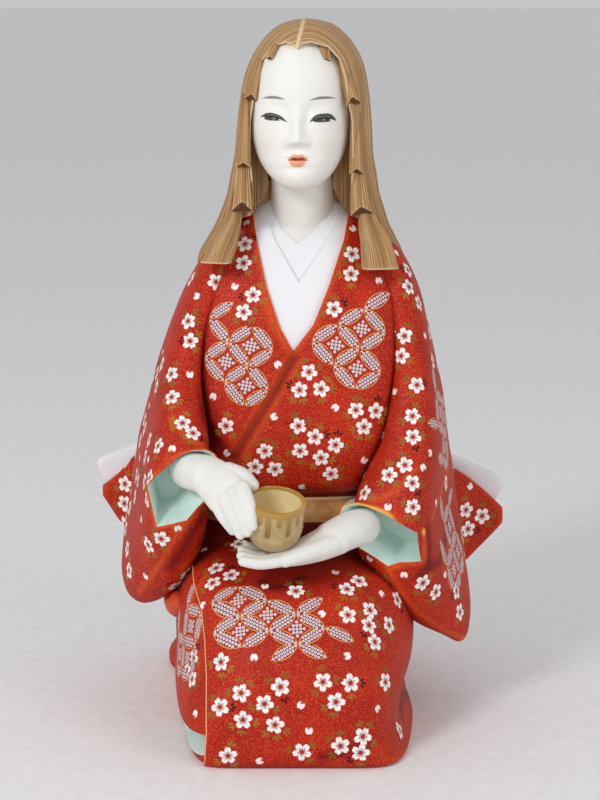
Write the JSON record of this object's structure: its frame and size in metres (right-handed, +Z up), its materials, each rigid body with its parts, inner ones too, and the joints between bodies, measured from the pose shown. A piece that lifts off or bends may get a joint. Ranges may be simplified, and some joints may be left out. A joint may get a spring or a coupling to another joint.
{
  "type": "hakata doll",
  "caption": "Kneeling painted clay lady in a flowered robe, with long hair, serving tea from a glazed bowl that rests on her open hand.",
  "frame": {"origin": "on the floor under the figure, midway between knees and hem", "axes": "+Z up, -Y the way the doll faces, +X towards the doll's left hand"},
  "size_m": [0.1965, 0.1792, 0.3156],
  "materials": {
    "painted_clay": "matte painted bisque clay",
    "glaze": "glossy poured glaze"
  },
  "bodies": {
    "root": {"figure": "painted_clay", "tea_bowl": "glaze"}
  },
  "joints": []
}
